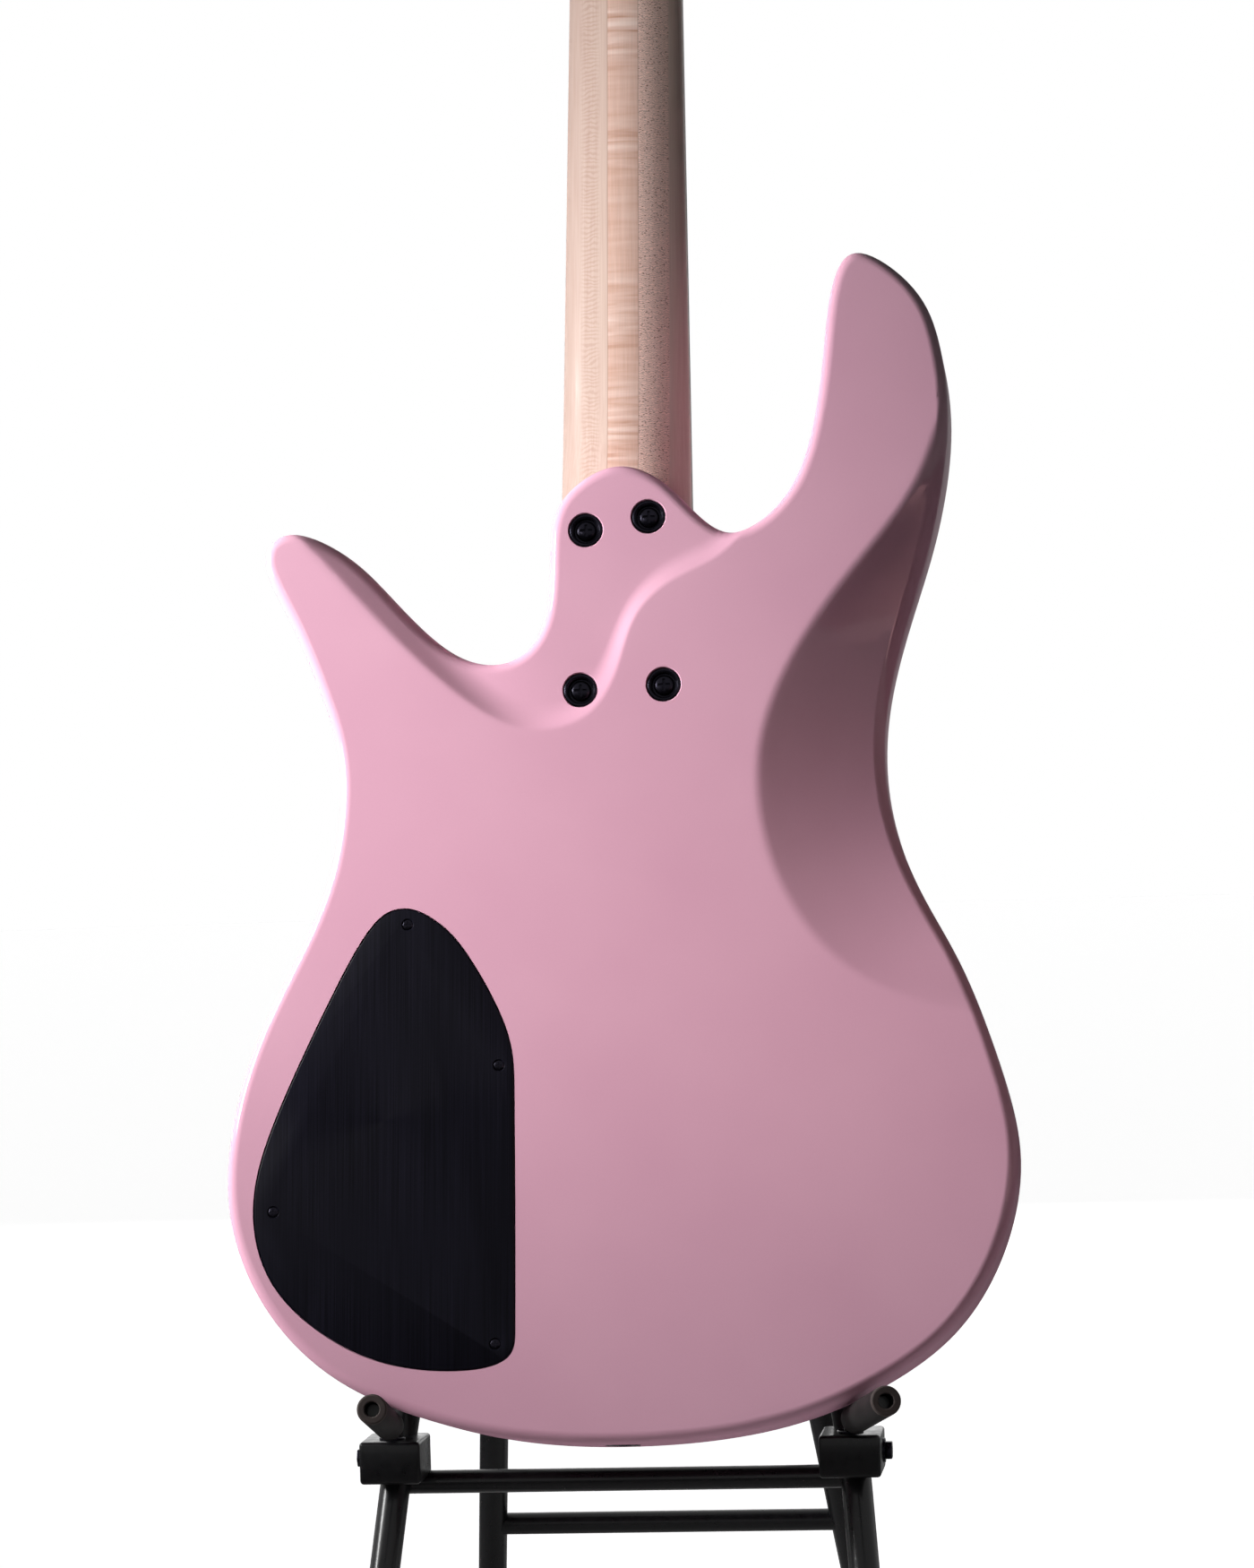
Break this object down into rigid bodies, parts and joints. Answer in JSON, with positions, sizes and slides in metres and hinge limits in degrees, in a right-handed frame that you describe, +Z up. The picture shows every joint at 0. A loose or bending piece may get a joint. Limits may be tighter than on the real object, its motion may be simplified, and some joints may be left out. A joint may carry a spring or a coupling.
{
  "type": "bass guitar on stand",
  "caption": "Electric bass guitar with a carved pink body and bolt-on maple neck, leaning face first on a low folding stand with rubber-sleeved swinging arms.",
  "frame": {"origin": "centre of the whole object's footprint box, on the floor", "axes": "+Z up; the guitar's back faces -Y and it leans back towards +Y; +X is the long horn's side"},
  "size_m": [0.3328, 0.3302, 1.2291],
  "materials": {
    "pink_lacquer": "opaque pink lacquer over wood, full gloss",
    "control_plate": "black plate with fine vertical brushing, satin gloss",
    "maple": "three-piece flamed maple, satin clear coat",
    "ebony": "oiled dark wood",
    "bone": "polished bone white",
    "bright_steel": "bright drawn steel",
    "black_hardware": "black nickel, semi-gloss",
    "black_plastic": "satin black plastic",
    "circuit_board": "green solder mask",
    "gloss_black": "gloss black enamel on steel tube",
    "rubber": "matte dark rubber"
  },
  "bodies": {
    "front_frame": {"front_frame": "gloss_black", "hinge_rod": "gloss_black", "rest_sleeve_left": "rubber", "rest_sleeve_right": "rubber", "front_foot_left": "rubber", "front_foot_right": "rubber"},
    "rear_frame": {"rear_frame": "gloss_black", "rear_foot_left": "rubber", "rear_foot_right": "rubber"},
    "left_arm": {"arm_left": "gloss_black", "arm_sleeve_left": "rubber"},
    "right_arm": {"arm_right": "gloss_black", "arm_sleeve_right": "rubber"},
    "guitar": {"body": "pink_lacquer", "control_cover": "control_plate", "neck": "maple", "fretboard": "ebony", "nut": "bone", "truss_rod": "bright_steel", "neck_ferrule_1": "black_hardware", "neck_ferrule_2": "black_hardware", "neck_ferrule_3": "black_hardware", "neck_ferrule_4": "black_hardware", "neck_screw_1": "black_hardware", "neck_screw_2": "black_hardware", "neck_screw_3": "black_hardware", "neck_screw_4": "black_hardware", "neck_pickup": "black_plastic", "bridge_pickup": "black_plastic", "bridge_plate": "black_hardware", "string_1": "bright_steel", "string_2": "bright_steel", "string_3": "bright_steel", "string_4": "bright_steel", "output_jack": "black_hardware", "control_board": "circuit_board", "battery": "black_plastic", "strap_socket_tail": "black_hardware", "strap_socket_horn": "black_hardware", "tuner_housing_1": "black_hardware", "tuner_housing_2": "black_hardware", "tuner_housing_3": "black_hardware", "tuner_housing_4": "black_hardware"},
    "saddle_1": {"saddle_1": "black_hardware"},
    "saddle_2": {"saddle_2": "black_hardware"},
    "saddle_3": {"saddle_3": "black_hardware"},
    "saddle_4": {"saddle_4": "black_hardware"},
    "tuner_post_1": {"tuner_post_1": "black_hardware"},
    "tuner_key_1": {"tuner_key_1": "black_hardware"},
    "tuner_post_2": {"tuner_post_2": "black_hardware"},
    "tuner_key_2": {"tuner_key_2": "black_hardware"},
    "tuner_post_3": {"tuner_post_3": "black_hardware"},
    "tuner_key_3": {"tuner_key_3": "black_hardware"},
    "tuner_post_4": {"tuner_post_4": "black_hardware"},
    "tuner_key_4": {"tuner_key_4": "black_hardware"},
    "knob_1": {"knob_1": "black_hardware"},
    "knob_2": {"knob_2": "black_hardware"},
    "knob_3": {"knob_3": "black_hardware"},
    "knob_4": {"knob_4": "black_hardware"},
    "toggle": {"toggle_lever": "black_hardware"}
  },
  "joints": [
    {"name": "guitar_lift", "type": "slide", "parent": "front_frame", "child": "guitar", "axis": [0, 0.1736, 0.9848], "range_m": [0, 0.25]},
    {"name": "rear_frame_fold", "type": "hinge", "parent": "front_frame", "child": "rear_frame", "pos_m": [-0.0058, -0.01194, 0.28772], "axis": [-1, 0, 0], "range_deg": [0, 35]},
    {"name": "left_arm_swing", "type": "hinge", "parent": "front_frame", "child": "left_arm", "pos_m": [-0.1033, -0.05829, 0.13132], "axis": [0, 0, -1], "range_deg": [0, 90]},
    {"name": "right_arm_swing", "type": "hinge", "parent": "front_frame", "child": "right_arm", "pos_m": [0.0917, -0.05831, 0.13123], "axis": [0, 0, 1], "range_deg": [0, 75]},
    {"name": "saddle_1_slide", "type": "slide", "parent": "guitar", "child": "saddle_1", "axis": [0.0074, 0.1736, 0.9848], "range_m": [-0.004, 0.004]},
    {"name": "saddle_2_slide", "type": "slide", "parent": "guitar", "child": "saddle_2", "axis": [0.0074, 0.1736, 0.9848], "range_m": [-0.004, 0.004]},
    {"name": "saddle_3_slide", "type": "slide", "parent": "guitar", "child": "saddle_3", "axis": [0.0074, 0.1736, 0.9848], "range_m": [-0.004, 0.004]},
    {"name": "saddle_4_slide", "type": "slide", "parent": "guitar", "child": "saddle_4", "axis": [0.0074, 0.1736, 0.9848], "range_m": [-0.004, 0.004]},
    {"name": "tuner_key_1_turn", "type": "hinge", "parent": "guitar", "child": "tuner_key_1", "pos_m": [-0.01414, 0.08653, 1.11477], "axis": [-1, 0.0013, 0.0073], "continuous": true},
    {"name": "tuner_key_2_turn", "type": "hinge", "parent": "guitar", "child": "tuner_key_2", "pos_m": [-0.01069, 0.08653, 1.17674], "axis": [-1, 0.0013, 0.0073], "continuous": true},
    {"name": "tuner_key_3_turn", "type": "hinge", "parent": "guitar", "child": "tuner_key_3", "pos_m": [0.02331, 0.08648, 1.1765], "axis": [1, -0.0013, -0.0073], "continuous": true},
    {"name": "tuner_key_4_turn", "type": "hinge", "parent": "guitar", "child": "tuner_key_4", "pos_m": [0.02586, 0.08648, 1.11448], "axis": [1, -0.0013, -0.0073], "continuous": true},
    {"name": "tuner_post_1_turn", "type": "hinge", "parent": "guitar", "child": "tuner_post_1", "pos_m": [-0.01418, 0.10533, 1.10527], "axis": [-0.0013, -1, 0], "continuous": true},
    {"name": "tuner_post_2_turn", "type": "hinge", "parent": "guitar", "child": "tuner_post_2", "pos_m": [-0.01073, 0.10533, 1.16724], "axis": [-0.0013, -1, 0], "continuous": true},
    {"name": "tuner_post_3_turn", "type": "hinge", "parent": "guitar", "child": "tuner_post_3", "pos_m": [0.02327, 0.10528, 1.167], "axis": [-0.0013, -1, 0], "continuous": true},
    {"name": "tuner_post_4_turn", "type": "hinge", "parent": "guitar", "child": "tuner_post_4", "pos_m": [0.02582, 0.10528, 1.10498], "axis": [-0.0013, -1, 0], "continuous": true},
    {"name": "knob_1_turn", "type": "hinge", "parent": "guitar", "child": "knob_1", "pos_m": [-0.10725, -0.03457, 0.29867], "axis": [0, 0.9848, -0.1736], "range_deg": [-150, 150]},
    {"name": "knob_2_turn", "type": "hinge", "parent": "guitar", "child": "knob_2", "pos_m": [-0.12147, -0.03976, 0.26923], "axis": [0, 0.9848, -0.1736], "range_deg": [-150, 150]},
    {"name": "knob_3_turn", "type": "hinge", "parent": "guitar", "child": "knob_3", "pos_m": [-0.12873, -0.04566, 0.2358], "axis": [0, 0.9848, -0.1736], "range_deg": [-150, 150]},
    {"name": "knob_4_turn", "type": "hinge", "parent": "guitar", "child": "knob_4", "pos_m": [-0.12498, -0.05157, 0.20229], "axis": [0, 0.9848, -0.1736], "range_deg": [-150, 150]},
    {"name": "toggle_flip", "type": "hinge", "parent": "guitar", "child": "toggle", "pos_m": [-0.11319, -0.05674, 0.17468], "axis": [1, -0.0013, -0.0073], "range_deg": [-12, 12]}
  ],
  "couplings": [
    {"joint": "tuner_post_1_turn", "follows": "tuner_key_1_turn", "ratio": 0.05},
    {"joint": "tuner_post_2_turn", "follows": "tuner_key_2_turn", "ratio": 0.05},
    {"joint": "tuner_post_3_turn", "follows": "tuner_key_3_turn", "ratio": 0.05},
    {"joint": "tuner_post_4_turn", "follows": "tuner_key_4_turn", "ratio": 0.05}
  ]
}
